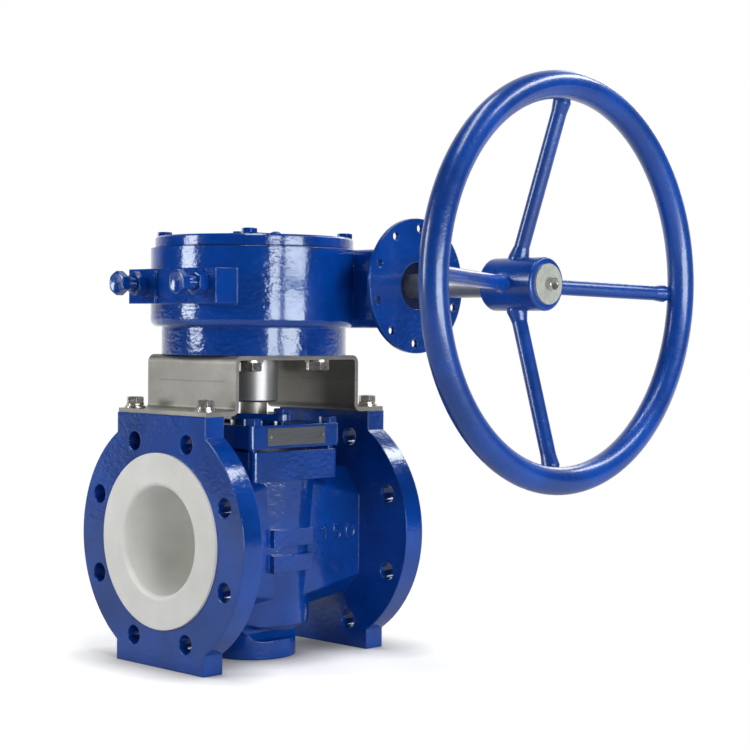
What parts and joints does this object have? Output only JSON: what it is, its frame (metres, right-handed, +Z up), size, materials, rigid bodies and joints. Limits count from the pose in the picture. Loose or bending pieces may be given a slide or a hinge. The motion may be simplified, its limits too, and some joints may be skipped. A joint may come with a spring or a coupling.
{
  "type": "plug valve",
  "caption": "Lined flanged plug valve with a bracket-mounted worm gearbox, a quarter-turn plug and a spoked handwheel.",
  "frame": {"origin": "centre of the boss's flat underside, on the base plane below the stem; the feet of both flanges stand on the same plane", "axes": "+X along the flow to the outlet flange, +Z up the stem, -Y towards the handwheel"},
  "size_m": [0.487, 0.5435, 0.6575],
  "materials": {
    "paint": "deep blue gloss enamel over cast iron, slight orange peel",
    "liner": "milky white moulded fluoropolymer, soft gloss",
    "stainless": "bead-blasted stainless steel",
    "bright_steel": "turned bright steel",
    "zinc": "zinc plated steel",
    "raw_iron": "machined ductile iron",
    "bronze": "plain bronze bearing metal",
    "packing": "pressed packing rings",
    "seal_rubber": "black nitrile rubber",
    "plate": "bare etched plate, no lettering"
  },
  "bodies": {
    "valve": {"body_casting": "paint", "body_liner": "liner", "thrust_ring": "bright_steel", "bonnet_diaphragm": "liner", "bonnet": "paint", "bonnet_bolts": "paint", "stem_packing": "packing", "gland_follower": "paint", "gland_bolts": "stainless", "nameplate": "plate", "nameplate_rivets": "stainless", "bracket": "stainless", "bracket_bolts": "stainless", "bracket_washers": "stainless", "bracket_spring_washers": "stainless", "gearbox_bolts": "stainless", "gearbox_washers": "stainless", "gearbox_housing": "paint", "gearbox_gasket": "seal_rubber", "gearbox_cover": "paint", "cover_bolts": "paint", "vent_plug": "paint", "lower_wheel_bush": "bronze", "upper_wheel_bush": "bronze", "worm_bearings": "bright_steel", "bearing_circlip": "bright_steel", "shaft_seal": "seal_rubber", "worm_end_cap": "paint", "end_cap_screws": "paint", "stop_bolts": "paint", "stop_lock_nuts": "paint"},
    "plug_train": {"plug_core": "raw_iron", "plug_lining": "liner", "stem_key": "bright_steel", "coupling": "bright_steel", "wheel_key": "bright_steel", "quadrant_wheel": "raw_iron", "position_indicator": "paint"},
    "handwheel_train": {"worm_shaft": "bright_steel", "handwheel_key": "bright_steel", "handwheel": "paint", "handwheel_washer": "zinc", "handwheel_spring_washer": "zinc", "handwheel_screw": "zinc"}
  },
  "joints": [
    {"name": "handwheel_spin", "type": "hinge", "parent": "valve", "child": "handwheel_train", "pos_m": [0.1, -0.386, 0.4325], "axis": [0, 1, 0], "range_deg": [0, 3600]},
    {"name": "plug_turn", "type": "hinge", "parent": "valve", "child": "plug_train", "pos_m": [0, 0, 0.1425], "axis": [0, 0, -1], "range_deg": [0, 90]}
  ],
  "couplings": [
    {"joint": "plug_turn", "follows": "handwheel_spin", "ratio": 0.025}
  ]
}
